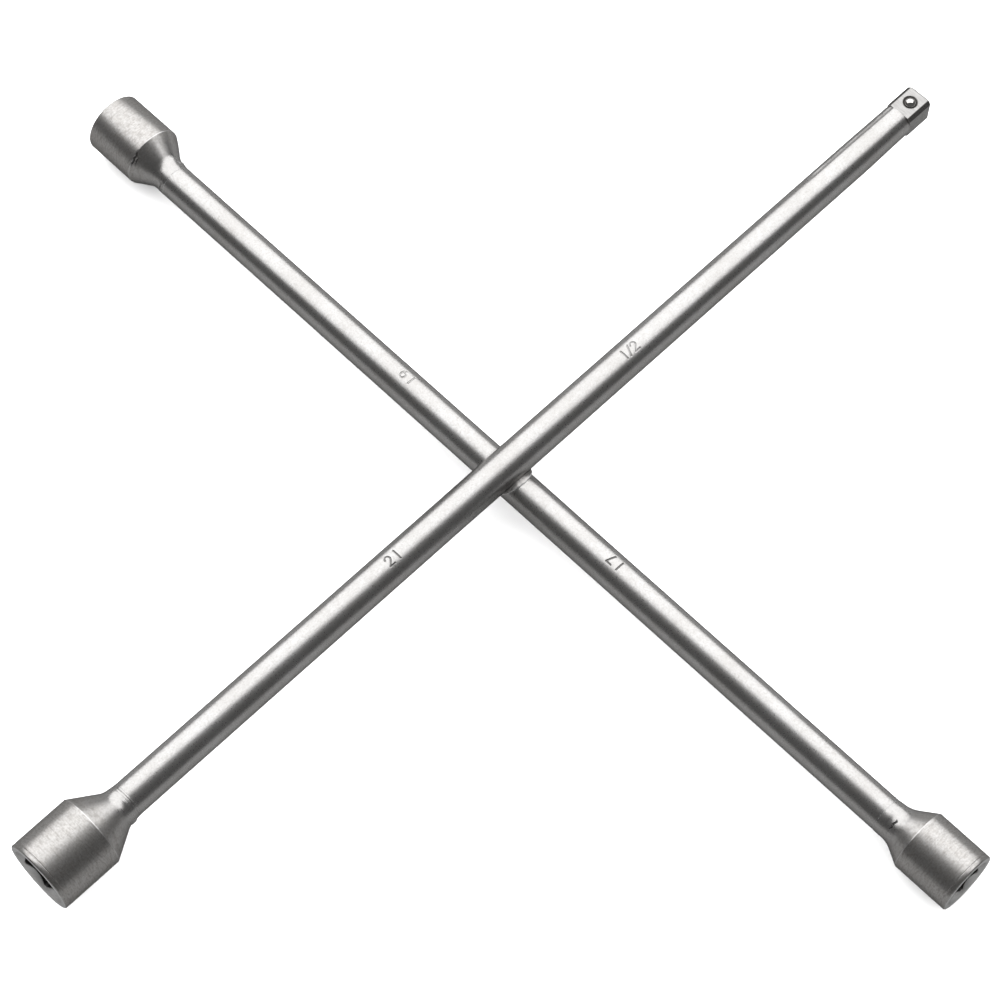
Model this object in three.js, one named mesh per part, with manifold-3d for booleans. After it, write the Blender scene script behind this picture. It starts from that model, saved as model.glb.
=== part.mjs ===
// Four-way lug wrench: two round steel bars welded across each other, with three hex socket heads
// and a 1/2 inch square drive. Millimetres, +Z up. The drive bar runs along X and lies on top of
// the cross bar, which runs along Y. The origin is under the middle of the wrench's box, at the
// height of its lowest point.
import * as THREE from "three";
import { mergeVertices } from "three/addons/utils/BufferGeometryUtils.js";
import Module from "manifold-3d";

// ---- Driving dimensions ----
const BAR_RADIUS = 7.5;
const BAR_OFFSET = 9; // height of the drive bar's axis above the cross bar's axis
const WELD_GAP = 0.05; // between welded faces, so that neighbours touch without sharing space
const SIDE_GAP = 0.3; // round the weld collar and between the crossing bars
const SEAM_CHAMFER = 0.3;

// Reach from the crossing to the end of each arm.
const DRIVE_REACH = 248.8;
const SHOULDER_REACH = 234.8; // where the round bar stops and the square begins
const TAPER_REACH = 203; // where the drive arm starts to slim towards the square
const SHOULDER_RADIUS = 7.2;

// Square drive, 1/2 inch nominal.
const DRIVE_ACROSS_FLATS = 12.7;
const DRIVE_CORNER_RADIUS = 8; // the corners lie on this circle about the axis
const DRIVE_CORNER_STEPS = 4;
const DRIVE_ROOT = 1; // how far the square's chamfered back end reaches into the round bar
const TIP_CHAMFER = 1;

// Detent: a ball that stands out of the square's upper flat, over a spring in a blind hole.
const BALL_REACH = 241.9;
const BALL_RADIUS = 2.8;
const BALL_RISE = 1.3; // how far the ball stands out of the flat, which is also its travel
const HOLE_RADIUS = 2.88;
const HOLE_FLOOR = -3.6; // measured from the bar's axis
const LIP_RADIUS = 2.62; // staked lip that keeps the ball in
const LIP_DEPTH = 0.35;
const LIP_TAPER = 0.7;
const RING_RADIUS = 3.375; // staking dimple round the lip, where it meets the flat
const CUTTER_RISE = 0.25; // how far a cutter stands clear of the face it opens
const WIRE_RADIUS = 0.275;
const COIL_RADIUS = 2.1;
const CLOSED_TURNS = 1; // at each end of the spring
const ACTIVE_TURNS = 3;
const CLOSED_PITCH = 0.6;
const SEAT_CLEARANCE = 0.05;

// Weld collar: metal squeezed out between the flats of the two bars.
const COLLAR_HALF_WIDTH = 8;
const COLLAR_CORNER = 2.5;
const COLLAR_THICKNESS = 1.2;
const COLLAR_BEVEL = 0.3;

// Socket heads. reach is the mouth's distance from the crossing, barrel is the length of the plain
// cylinder, and length runs from the mouth to the weld. neckStep is how far the neck stands proud of
// the bar, turn is the head's direction about Z from +Y, and offset is how far the head's axis sits
// beside the bar's axis, as welded.
const HEADS = [
  {
    name: "socket_head_21",
    acrossFlats: 21,
    radius: 15.5,
    reach: 246.1,
    barrel: 26.3,
    length: 44.3,
    neckStep: 0.3,
    fillet: 8,
    hexDepth: 20,
    turn: Math.PI / 2,
    offset: [0, 0.3],
  },
  {
    name: "socket_head_19",
    acrossFlats: 19,
    radius: 13.75,
    reach: 239.9,
    barrel: 25.3,
    length: 41.6,
    neckStep: 0.15,
    fillet: 8,
    hexDepth: 19,
    turn: 0,
    offset: [1.5, 0],
  },
  {
    name: "socket_head_17",
    acrossFlats: 17,
    radius: 13.2,
    reach: 244.6,
    barrel: 24.6,
    length: 40.1,
    neckStep: 0.2,
    fillet: 12,
    hexDepth: 18,
    turn: Math.PI,
    offset: [1.1, 0],
  },
];
const CONE_SLOPE = 0.6; // fall of the radius per millimetre along the shoulder cone
const JUNCTION_ROUND = 1.2;
const MOUTH_CHAMFER = 0.4;
const LEAD_IN = 0.7; // how far the mouth's 45 degree cone reaches past the hexagon's corners
const RELIEF_DEPTH = 3.5; // drilled relief past the hexagon's floor
const RELIEF_INSET = 0.4;
const RELIEF_POINT = 3;

// Facet counts.
const HEX_SIDES = 6;
const BAR_SIDES = 40;
const HEAD_SIDES = 48;
const HOLE_SIDES = 32;
const ARC_STEPS = 5;
const BALL_SIDES = 24;
const BALL_RINGS = 14;
const WIRE_SIDES = 8;
const STEPS_PER_TURN = 18;
const MERGE_TOLERANCE = 1e-4;

// ---- Derived positions ----
const [HEAD_21, HEAD_19, HEAD_17] = HEADS;
const CROSS_AXIS_Z = Math.max(HEAD_19.radius, HEAD_17.radius);
const DRIVE_AXIS_Z = CROSS_AXIS_Z + BAR_OFFSET;
const SEAT_Z = (CROSS_AXIS_Z + DRIVE_AXIS_Z) / 2;
const CROSSING_X = (HEAD_21.reach - DRIVE_REACH) / 2;
const CROSSING_Y = (HEAD_17.reach - HEAD_19.reach) / 2;
const FLAT_HEIGHT = DRIVE_ACROSS_FLATS / 2;
const BALL_HEIGHT = FLAT_HEIGHT + BALL_RISE - BALL_RADIUS;

// ---- Materials ----
const satinSteel = { color: 0xb9b8b4, roughness: 0.3, metalness: 1 };
const turnedSteel = { color: 0xa5a4a0, roughness: 0.4, metalness: 1 };
const weldSteel = { color: 0x8d8b87, roughness: 0.5, metalness: 1 };
const ballSteel = { color: 0xd2d2d0, roughness: 0.1, metalness: 1 };
const springSteel = { color: 0x77767a, roughness: 0.35, metalness: 1 };

// ---- Solids ----
const wasm = await Module();
wasm.setup();

function solidOf(geometry) {
  const bare = geometry.clone();
  bare.deleteAttribute("normal");
  bare.deleteAttribute("uv");
  const merged = mergeVertices(bare, MERGE_TOLERANCE);
  return new wasm.Manifold(
    new wasm.Mesh({
      numProp: 3,
      vertProperties: new Float32Array(merged.attributes.position.array),
      triVerts: new Uint32Array(merged.index.array),
    }),
  );
}

function geometryOf(solid) {
  const { numProp, vertProperties, triVerts } = solid.getMesh();
  const positions = new Float32Array((vertProperties.length / numProp) * 3);
  for (let i = 0; i < positions.length / 3; i += 1) {
    positions.set(vertProperties.subarray(i * numProp, i * numProp + 3), i * 3);
  }
  const geometry = new THREE.BufferGeometry();
  geometry.setAttribute("position", new THREE.BufferAttribute(positions, 3));
  geometry.setIndex(new THREE.BufferAttribute(new Uint32Array(triVerts), 1));
  geometry.computeVertexNormals();
  return geometry;
}

function meshOf(name, geometry, material) {
  const mesh = new THREE.Mesh(geometry, new THREE.MeshStandardMaterial(material));
  mesh.name = name;
  return mesh;
}

// A solid of revolution about Y. The outline lists [radius, height] pairs from the bottom up.
function turned(outline, sides) {
  const points = outline.map(([radius, height]) => new THREE.Vector2(radius, height));
  return new THREE.LatheGeometry(points, sides);
}

// Points on an arc that rounds the corner at b between the lines a-b and b-c.
function roundedCorner(a, b, c, radius) {
  const corner = new THREE.Vector2(...b);
  const back = new THREE.Vector2(...a).sub(corner).normalize();
  const ahead = new THREE.Vector2(...c).sub(corner).normalize();
  const halfAngle = Math.acos(back.dot(ahead)) / 2;
  const start = corner.clone().addScaledVector(back, radius / Math.tan(halfAngle));
  const middle = back.clone().add(ahead).normalize();
  const centre = corner.clone().addScaledVector(middle, radius / Math.sin(halfAngle));
  const first = start.clone().sub(centre);
  const turn = (Math.PI - 2 * halfAngle) * Math.sign(back.cross(ahead));
  const points = [];
  for (let i = 0; i <= ARC_STEPS; i += 1) {
    const spoke = first.clone().rotateAround(new THREE.Vector2(), (-turn * i) / ARC_STEPS);
    points.push([centre.x + spoke.x, centre.y + spoke.y]);
  }
  return points;
}

function box(width, depth, height, x, y, z) {
  return new THREE.BoxGeometry(width, depth, height).translate(x, y, z);
}

// ---- Bars ----
// A plain bar about Y, from one seam to the other, with its end edges broken.
function barOutline(from, to) {
  const edge = BAR_RADIUS - SEAM_CHAMFER;
  return [
    [0, from],
    [edge, from],
    [BAR_RADIUS, from + SEAM_CHAMFER],
    [BAR_RADIUS, to - SEAM_CHAMFER],
    [edge, to],
    [0, to],
  ];
}

function seamReach(head) {
  return head.reach - head.length - WELD_GAP;
}

// The space that a bar gives up at the crossing: the collar's slot, and a saddle that clears the
// other bar on the far side of the collar. side is +1 where the other bar lies above, -1 below.
function crossingCut(otherAxisZ, otherAlongX, side) {
  const slotHalf = COLLAR_HALF_WIDTH + SIDE_GAP;
  const nearFace = SEAT_Z - side * (COLLAR_THICKNESS / 2 + WELD_GAP);
  const slotDeep = COLLAR_THICKNESS + WELD_GAP + SIDE_GAP;
  const slotWide = 2 * slotHalf;
  const slot = box(slotWide, slotWide, slotDeep, 0, 0, nearFace + (side * slotDeep) / 2);
  const length = 4 * BAR_RADIUS;
  const cleared = BAR_RADIUS + SIDE_GAP;
  const tunnel = turned(
    [
      [0, -length / 2],
      [cleared, -length / 2],
      [cleared, length / 2],
      [0, length / 2],
    ],
    BAR_SIDES,
  );
  if (otherAlongX) tunnel.rotateZ(-Math.PI / 2);
  tunnel.translate(0, 0, otherAxisZ);
  const farSide = box(length, length, length, 0, 0, nearFace + (side * length) / 2);
  return solidOf(slot).add(solidOf(tunnel).intersect(solidOf(farSide)));
}

function squareOutline() {
  const half = FLAT_HEIGHT;
  const reach = Math.sqrt(DRIVE_CORNER_RADIUS ** 2 - half ** 2);
  const start = Math.atan2(reach, half);
  const shape = new THREE.Shape();
  shape.moveTo(half, -reach);
  for (let quarter = 0; quarter < 4; quarter += 1) {
    const base = (quarter * Math.PI) / 2;
    const sweep = Math.PI / 2 - 2 * start;
    for (let i = 0; i <= DRIVE_CORNER_STEPS; i += 1) {
      const angle = base + start + (sweep * i) / DRIVE_CORNER_STEPS;
      shape.lineTo(
        DRIVE_CORNER_RADIUS * Math.cos(angle),
        DRIVE_CORNER_RADIUS * Math.sin(angle),
      );
    }
  }
  return shape;
}

function squareDrive() {
  const depth = DRIVE_REACH - SHOULDER_REACH + DRIVE_ROOT - 2 * TIP_CHAMFER;
  const square = new THREE.ExtrudeGeometry(squareOutline(), {
    depth,
    bevelSegments: 1,
    bevelThickness: TIP_CHAMFER,
    bevelSize: TIP_CHAMFER,
    bevelOffset: -TIP_CHAMFER,
  });
  square.rotateY(Math.PI / 2);
  return square.translate(DRIVE_REACH - depth - TIP_CHAMFER, 0, DRIVE_AXIS_Z);
}

function detentHole() {
  const lipHeight = FLAT_HEIGHT - LIP_DEPTH;
  const flare = (RING_RADIUS - LIP_RADIUS) / LIP_DEPTH;
  const outline = [
    [0, HOLE_FLOOR],
    [HOLE_RADIUS, HOLE_FLOOR],
    [HOLE_RADIUS, lipHeight - LIP_TAPER],
    [LIP_RADIUS, lipHeight],
    [RING_RADIUS + flare * CUTTER_RISE, FLAT_HEIGHT + CUTTER_RISE],
    [0, FLAT_HEIGHT + CUTTER_RISE],
  ];
  return turned(outline, HOLE_SIDES)
    .rotateX(Math.PI / 2)
    .translate(BALL_REACH, 0, DRIVE_AXIS_Z);
}

function driveBar() {
  const from = -seamReach(HEAD_21);
  const outline = [
    [0, from],
    [BAR_RADIUS - SEAM_CHAMFER, from],
    [BAR_RADIUS, from + SEAM_CHAMFER],
    [BAR_RADIUS, TAPER_REACH],
    [SHOULDER_RADIUS, SHOULDER_REACH - SEAM_CHAMFER],
    [SHOULDER_RADIUS - SEAM_CHAMFER, SHOULDER_REACH],
    [0, SHOULDER_REACH],
  ];
  const round = turned(outline, BAR_SIDES)
    .rotateZ(-Math.PI / 2)
    .translate(0, 0, DRIVE_AXIS_Z);
  const solid = solidOf(round)
    .add(solidOf(squareDrive()))
    .subtract(solidOf(detentHole()))
    .subtract(crossingCut(CROSS_AXIS_Z, false, -1));
  return meshOf("drive_bar", geometryOf(solid), satinSteel);
}

function crossBar() {
  const round = turned(barOutline(-seamReach(HEAD_17), seamReach(HEAD_19)), BAR_SIDES);
  round.translate(0, 0, CROSS_AXIS_Z);
  const solid = solidOf(round).subtract(crossingCut(DRIVE_AXIS_Z, true, 1));
  return meshOf("cross_bar", geometryOf(solid), satinSteel);
}

// ---- Weld collar ----
function centreWeld() {
  const half = COLLAR_HALF_WIDTH;
  const straight = half - COLLAR_CORNER;
  const shape = new THREE.Shape();
  shape.moveTo(half, -straight);
  shape.absarc(straight, straight, COLLAR_CORNER, 0, Math.PI / 2);
  shape.absarc(-straight, straight, COLLAR_CORNER, Math.PI / 2, Math.PI);
  shape.absarc(-straight, -straight, COLLAR_CORNER, Math.PI, 1.5 * Math.PI);
  shape.absarc(straight, -straight, COLLAR_CORNER, 1.5 * Math.PI, 2 * Math.PI);
  const depth = COLLAR_THICKNESS - 2 * COLLAR_BEVEL;
  const collar = new THREE.ExtrudeGeometry(shape, {
    depth,
    curveSegments: ARC_STEPS,
    bevelSegments: 1,
    bevelThickness: COLLAR_BEVEL,
    bevelSize: COLLAR_BEVEL,
    bevelOffset: -COLLAR_BEVEL,
  });
  collar.translate(0, 0, SEAT_Z - depth / 2);
  return meshOf("centre_weld", geometryOf(solidOf(collar)), weldSteel);
}

// ---- Socket heads, about Y with the mouth at y = 0 and the seam at y = -length ----
function headOutline(head) {
  const { radius, barrel, length, fillet } = head;
  const neckRadius = BAR_RADIUS + head.neckStep;
  const shoulder = [radius, -barrel];
  const neck = [neckRadius, -barrel - (radius - neckRadius) / CONE_SLOPE];
  const seam = [neckRadius, -length];
  const mouth = [radius, 0];
  return [
    [0, -length],
    [neckRadius - SEAM_CHAMFER, -length],
    [neckRadius, -length + SEAM_CHAMFER],
    ...roundedCorner(seam, neck, shoulder, fillet),
    ...roundedCorner(neck, shoulder, mouth, JUNCTION_ROUND),
    [radius, -MOUTH_CHAMFER],
    [radius - MOUTH_CHAMFER, 0],
    [0, 0],
  ];
}

// The hexagon's corners point up and down, so that its side flats face sideways.
function hexCut(head) {
  const corner = head.acrossFlats / Math.sqrt(3);
  const outline = [
    [0, -head.hexDepth],
    [corner, -head.hexDepth],
    [corner, CUTTER_RISE],
    [0, CUTTER_RISE],
  ];
  return turned(outline, HEX_SIDES);
}

function reliefCut(head) {
  const radius = head.acrossFlats / 2 - RELIEF_INSET;
  const floor = -head.hexDepth - RELIEF_DEPTH;
  const outline = [
    [0, floor - RELIEF_POINT],
    [radius, floor],
    [radius, -head.hexDepth + CUTTER_RISE],
    [0, -head.hexDepth + CUTTER_RISE],
  ];
  return turned(outline, HEAD_SIDES);
}

function leadInCut(head) {
  const radius = head.acrossFlats / Math.sqrt(3) + LEAD_IN;
  const outline = [
    [0, -radius],
    [radius + CUTTER_RISE, CUTTER_RISE],
    [0, CUTTER_RISE],
  ];
  return turned(outline, HEAD_SIDES);
}

function socketHead(head) {
  const solid = solidOf(turned(headOutline(head), HEAD_SIDES))
    .subtract(solidOf(hexCut(head)))
    .subtract(solidOf(reliefCut(head)))
    .subtract(solidOf(leadInCut(head)));
  const mesh = meshOf(head.name, geometryOf(solid), turnedSteel);
  const onDriveBar = head === HEAD_21;
  mesh.rotation.z = head.turn;
  mesh.position.set(
    head.offset[0] - Math.sin(head.turn) * head.reach,
    head.offset[1] + Math.cos(head.turn) * head.reach,
    onDriveBar ? DRIVE_AXIS_Z : CROSS_AXIS_Z,
  );
  return mesh;
}

// ---- Detent ----
function detentBall() {
  const ball = new THREE.SphereGeometry(BALL_RADIUS, BALL_SIDES, BALL_RINGS);
  const mesh = meshOf("detent_ball", geometryOf(solidOf(ball)), ballSteel);
  mesh.position.set(BALL_REACH, 0, DRIVE_AXIS_Z + BALL_HEIGHT);
  return mesh;
}

// The spring's centre line, with closed turns at both ends.
class Coil extends THREE.Curve {
  constructor(low, high) {
    super();
    this.low = low;
    this.high = high;
  }

  getPoint(t, target = new THREE.Vector3()) {
    const turns = 2 * CLOSED_TURNS + ACTIVE_TURNS;
    const turn = t * turns;
    const rise = this.high - this.low;
    const activePitch = (rise - 2 * CLOSED_TURNS * CLOSED_PITCH) / ACTIVE_TURNS;
    const active = THREE.MathUtils.clamp(turn - CLOSED_TURNS, 0, ACTIVE_TURNS);
    const height = this.low + (turn - active) * CLOSED_PITCH + active * activePitch;
    const angle = turn * 2 * Math.PI;
    return target.set(COIL_RADIUS * Math.cos(angle), COIL_RADIUS * Math.sin(angle), height);
  }
}

function detentSpring() {
  const low = HOLE_FLOOR + WIRE_RADIUS + SEAT_CLEARANCE;
  const reach = BALL_RADIUS + WIRE_RADIUS + SEAT_CLEARANCE;
  const high = BALL_HEIGHT - Math.sqrt(reach ** 2 - COIL_RADIUS ** 2);
  const section = new THREE.Shape();
  for (let i = 0; i < WIRE_SIDES; i += 1) {
    const angle = (i / WIRE_SIDES) * 2 * Math.PI;
    const x = WIRE_RADIUS * Math.cos(angle);
    const y = WIRE_RADIUS * Math.sin(angle);
    if (i === 0) section.moveTo(x, y);
    else section.lineTo(x, y);
  }
  const wire = new THREE.ExtrudeGeometry(section, {
    steps: STEPS_PER_TURN * (2 * CLOSED_TURNS + ACTIVE_TURNS),
    bevelEnabled: false,
    extrudePath: new Coil(low, high),
  });
  const mesh = meshOf("detent_spring", geometryOf(solidOf(wire)), springSteel);
  mesh.position.set(BALL_REACH, 0, DRIVE_AXIS_Z);
  return mesh;
}

// ---- The wrench ----
const wrench = new THREE.Group();
wrench.position.set(CROSSING_X, CROSSING_Y, 0);
wrench.add(driveBar(), crossBar(), centreWeld());
wrench.add(...HEADS.map(socketHead));
wrench.add(detentBall(), detentSpring());

export default wrench;
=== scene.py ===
import math

import bmesh
import bpy
from mathutils import Matrix, Vector, noise


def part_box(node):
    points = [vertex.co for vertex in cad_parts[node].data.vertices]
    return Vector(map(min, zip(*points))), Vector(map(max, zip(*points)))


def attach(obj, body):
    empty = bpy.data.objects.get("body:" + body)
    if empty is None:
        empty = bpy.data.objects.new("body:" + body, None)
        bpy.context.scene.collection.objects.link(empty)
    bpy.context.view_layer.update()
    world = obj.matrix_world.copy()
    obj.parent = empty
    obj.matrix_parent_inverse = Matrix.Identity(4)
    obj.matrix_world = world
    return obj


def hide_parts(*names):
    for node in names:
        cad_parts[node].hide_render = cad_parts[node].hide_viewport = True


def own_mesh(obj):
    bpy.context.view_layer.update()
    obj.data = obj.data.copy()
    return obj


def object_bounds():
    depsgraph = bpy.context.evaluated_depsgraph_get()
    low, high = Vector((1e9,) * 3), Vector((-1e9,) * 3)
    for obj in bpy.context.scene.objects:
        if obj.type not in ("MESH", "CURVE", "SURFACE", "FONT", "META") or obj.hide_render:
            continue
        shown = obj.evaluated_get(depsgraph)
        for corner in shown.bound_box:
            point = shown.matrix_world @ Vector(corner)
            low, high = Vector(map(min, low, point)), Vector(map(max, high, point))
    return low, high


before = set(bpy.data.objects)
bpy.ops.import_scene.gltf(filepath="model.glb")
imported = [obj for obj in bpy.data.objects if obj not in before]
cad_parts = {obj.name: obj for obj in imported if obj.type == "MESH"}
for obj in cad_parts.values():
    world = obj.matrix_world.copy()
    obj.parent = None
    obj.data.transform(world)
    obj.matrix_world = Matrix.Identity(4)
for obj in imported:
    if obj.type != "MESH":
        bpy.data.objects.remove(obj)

CAD_LOW, CAD_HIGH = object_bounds()
MM = 0.001
UP = Vector((0, 0, 1))


# ---- Where the frame has things ----
def middle(node):
    low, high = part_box(node)
    return (low + high) / 2


DRIVE_LOW, DRIVE_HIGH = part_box("drive_bar")
CROSS_LOW, CROSS_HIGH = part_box("cross_bar")
BAR_RADIUS = (DRIVE_HIGH.z - DRIVE_LOW.z) / 2
DRIVE_Z = middle("drive_bar").z
CROSS_Z = middle("cross_bar").z
CROSSING = Vector((middle("cross_bar").x, middle("drive_bar").y, DRIVE_Z))
SEAT_Z = (DRIVE_Z + CROSS_Z) / 2
TIP_X = DRIVE_HIGH.x
BALL_CENTRE = middle("detent_ball")
BALL_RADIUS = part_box("detent_ball")[1].x - BALL_CENTRE.x

# The drive end. SHOULDER and TAPER_START are measured along the bar from the crossing.
SQUARE_LENGTH = 14 * MM
SHOULDER = TIP_X - CROSSING.x - SQUARE_LENGTH
TAPER_START = SHOULDER - 31.5 * MM
SHOULDER_RADIUS = 7.2 * MM
FLAT = 6.35 * MM
CORNER = 8.0 * MM
TIP_CHAMFER = 1.0 * MM
EDGE = 0.14 * MM  # how far the square's other edges are eased
STAKED_RING = 3.2 * MM  # radius of the ring staked round the ball


# ---- Small helpers ----
def smooth(edge0, edge1, value):
    t = min(1.0, max(0.0, (value - edge0) / (edge1 - edge0)))
    return t * t * (3 - 2 * t)


def spread(start, stop, step):
    """Evenly spaced numbers from start to stop, both included, at most step apart."""
    count = max(1, math.ceil(abs(stop - start) / step))
    return [start + (stop - start) * i / count for i in range(count + 1)]


def merged(*runs, gap=1e-6):
    """The numbers of several runs in order, without near doubles."""
    out = []
    for value in sorted(v for run in runs for v in run):
        if not out or value - out[-1] > gap:
            out.append(value)
    return out


def skin(rings, start, end):
    """A closed skin over rings of equally many points, with a pole at each end."""
    count = len(rings[0])
    points = [start] + [p for ring in rings for p in ring] + [end]
    faces = []
    for i in range(count):
        faces.append((0, 1 + (i + 1) % count, 1 + i))
    for r in range(len(rings) - 1):
        a, b = 1 + r * count, 1 + (r + 1) * count
        for i in range(count):
            j = (i + 1) % count
            faces.append((a + i, a + j, b + j, b + i))
    last, pole = 1 + (len(rings) - 1) * count, len(points) - 1
    for i in range(count):
        faces.append((last + i, last + (i + 1) % count, pole))
    return points, faces


def hoop(rings):
    """A closed skin over rings that run round and meet themselves."""
    count = len(rings[0])
    points = [p for ring in rings for p in ring]
    faces = []
    for r in range(len(rings)):
        a, b = r * count, ((r + 1) % len(rings)) * count
        for i in range(count):
            j = (i + 1) % count
            faces.append((a + i, a + j, b + j, b + i))
    return points, faces


SHARP_ANGLE = 28  # degrees between two faces from which their edge looks sharp


def add_piece(name, skin_data, material, body, node, sharp=SHARP_ANGLE, marks=None):
    """A mesh piece that rides on a body and stands for a CAD node. marks hold how dark or light
    each of its points is, from 0 to 1."""
    points, faces = skin_data
    mesh = bpy.data.meshes.new(name)
    mesh.from_pydata([tuple(p) for p in points], [], faces)
    if marks is not None:
        layer = mesh.attributes.new("stamp", "FLOAT", "POINT")
        layer.data.foreach_set("value", marks)
    work = bmesh.new()
    work.from_mesh(mesh)
    bmesh.ops.recalc_face_normals(work, faces=work.faces)
    work.to_mesh(mesh)
    work.free()
    mesh.polygons.foreach_set("use_smooth", [True] * len(mesh.polygons))
    mesh.set_sharp_from_angle(angle=math.radians(sharp))
    mesh.materials.append(material)
    piece = bpy.data.objects.new(name, mesh)
    bpy.context.scene.collection.objects.link(piece)
    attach(piece, body)
    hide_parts(node)
    return piece


# ---- Materials ----
STREAK_STRETCH = 0.0035  # metres per radian that a head's streaks are drawn out round it
SOFT_METAL = 0.95  # how metallic the weld's rough surface is
MILLED_LOSS = 0.08  # how much less metallic the milled square is
RIM_LOSS = 0.10
LEAD_IN_LOSS = 0.08


class Graph:
    """A material's nodes, joined from left to right."""

    def __init__(self, name):
        self.material = bpy.data.materials.new(name)
        self.material.use_nodes = True
        self.tree = self.material.node_tree
        self.shader = self.tree.nodes["Principled BSDF"]

    def add(self, kind, inputs=None, **settings):
        node = self.tree.nodes.new("ShaderNode" + kind)
        for key, value in settings.items():
            setattr(node, key, value)
        for key, value in (inputs or {}).items():
            if isinstance(value, bpy.types.NodeSocket):
                self.tree.links.new(value, node.inputs[key])
            else:
                node.inputs[key].default_value = value
        return node

    def place(self):
        return self.add("TexCoord").outputs["Object"]

    def marks(self):
        """How strongly each point of the mesh is marked, from 0 to 1."""
        return self.add("Attribute", attribute_name="stamp").outputs["Fac"]

    def noise(self, vector, scale, detail=3.0, stretch=(1, 1, 1)):
        moved = self.add("Mapping", {"Vector": vector, "Scale": stretch}).outputs[0]
        inputs = {"Vector": moved, "Scale": scale, "Detail": detail}
        return self.add("TexNoise", inputs).outputs["Fac"]

    def between(self, fac, low, high, start=0.35, end=0.65):
        inputs = {0: fac, 1: start, 2: end, 3: low, 4: high}
        return self.add("MapRange", inputs).outputs[0]

    def mix(self, fac, a, b):
        node = self.add("Mix", data_type="RGBA")
        for index, value in ((0, fac), (6, a), (7, b)):
            if isinstance(value, bpy.types.NodeSocket):
                self.tree.links.new(value, node.inputs[index])
            else:
                node.inputs[index].default_value = value
        return node.outputs[2]

    def math(self, operation, a, b=0.0):
        return self.add("Math", {0: a, 1: b}, operation=operation).outputs[0]

    def vector(self, operation, a, b):
        return self.add("VectorMath", {0: a, 1: b}, operation=operation).outputs[0]

    def dot(self, a, b):
        inputs = {0: a, 1: b}
        return self.add("VectorMath", inputs, operation="DOT_PRODUCT").outputs["Value"]

    def length(self, a):
        return self.add("VectorMath", {0: a}, operation="LENGTH").outputs["Value"]

    def bump(self, height, strength, distance, below=None):
        inputs = {"Height": height, "Strength": strength, "Distance": distance}
        if below is not None:
            inputs["Normal"] = below
        return self.add("Bump", inputs).outputs[0]

    def feed(self, socket, value):
        self.tree.links.new(value, self.shader.inputs[socket])

    def fix(self, **values):
        for key, value in values.items():
            self.shader.inputs[key.replace("_", " ")].default_value = value


def grey(value, warm=0.0):
    return (value * (1 + warm), value, value * (1 - warm), 1)


def bar_steel(name, along):
    """Satin plate over a drawn bar: a fine speckle, faint lines along it, stamped sizes darkened
    with painted shade and dirt.
    """
    g = Graph(name)
    place = g.place()
    stretch = (0.05, 1, 1) if along == "x" else (1, 0.05, 1)
    grain = g.noise(place, 1500, 3.0)
    lines = g.noise(place, 1300, 2.0, stretch)
    cloud = g.noise(place, 45, 3.0)
    mottle = g.noise(place, 330, 3.0)
    tone = g.mix(g.between(cloud, 0, 1), grey(0.52, 0.016), grey(0.58, 0.006))
    tone = g.mix(g.between(mottle, 0, 0.3), tone, grey(0.44, 0.03))
    tone = g.mix(g.between(grain, 0, 0.42, 0.45, 0.75), tone, grey(0.33, 0.07))
    # The stamped strokes are painted dark: shade in the recess, and dirt.
    tone = g.mix(g.between(g.marks(), 0, 0.85, 0.10, 0.9), tone, grey(0.10, 0.03))
    g.fix(Metallic=1.0, Specular_Tint=grey(0.45))
    if along == "x":
        tone = square_finish(g, place, tone)
    g.feed("Base Color", tone)
    g.feed("Roughness", g.between(grain, 0.27, 0.36))
    low = g.bump(lines, 0.06, 0.02 * MM)
    g.feed("Normal", g.bump(grain, 0.17, 0.03 * MM, low))
    return g.material


def square_finish(g, place, tone):
    """The drive square is milled, with painted shade on its rounded corners and in the staked ring
    round the ball.
    """
    local = g.vector("SUBTRACT", place, (0, CROSSING.y, DRIVE_Z))
    parts = g.add("SeparateXYZ", {0: local}).outputs
    start = TIP_X - SQUARE_LENGTH
    square = g.between(parts[0], 0, 1, start - 0.05 * MM, start + 0.10 * MM)
    milled = g.noise(place, 1700, 2.0, (1, 0.12, 0.12))
    flat = g.mix(g.between(milled, 0, 1), grey(0.33, 0.02), grey(0.41, 0.012))
    tone = g.mix(square, tone, flat)
    radial = g.length(g.add("CombineXYZ", {0: parts[1], 1: parts[2]}).outputs[0])
    # Painted shade along the square's rounded corners.
    rounded = g.between(radial, 0, 0.9, CORNER - 0.14 * MM, CORNER - 0.04 * MM)
    tone = g.mix(g.math("MULTIPLY", square, rounded), tone, grey(0.10, 0.03))
    # Painted shade in the staked ring round the ball, on the upper part of the bar.
    plan = g.vector("SUBTRACT", place, (BALL_CENTRE.x, CROSSING.y, 0))
    away = g.length(g.vector("MULTIPLY", plan, (1, 1, 0)))
    upper = g.between(parts[2], 0, 1, 3 * MM, 4 * MM)
    near = g.between(away, 1, 0, STAKED_RING - 0.1 * MM, STAKED_RING + 0.1 * MM)
    tone = g.mix(g.math("MULTIPLY", upper, near), tone, grey(0.045, 0.03))
    g.feed("Metallic", g.math("SUBTRACT", 1.0, g.math("MULTIPLY", square, MILLED_LOSS)))
    return tone


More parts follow.
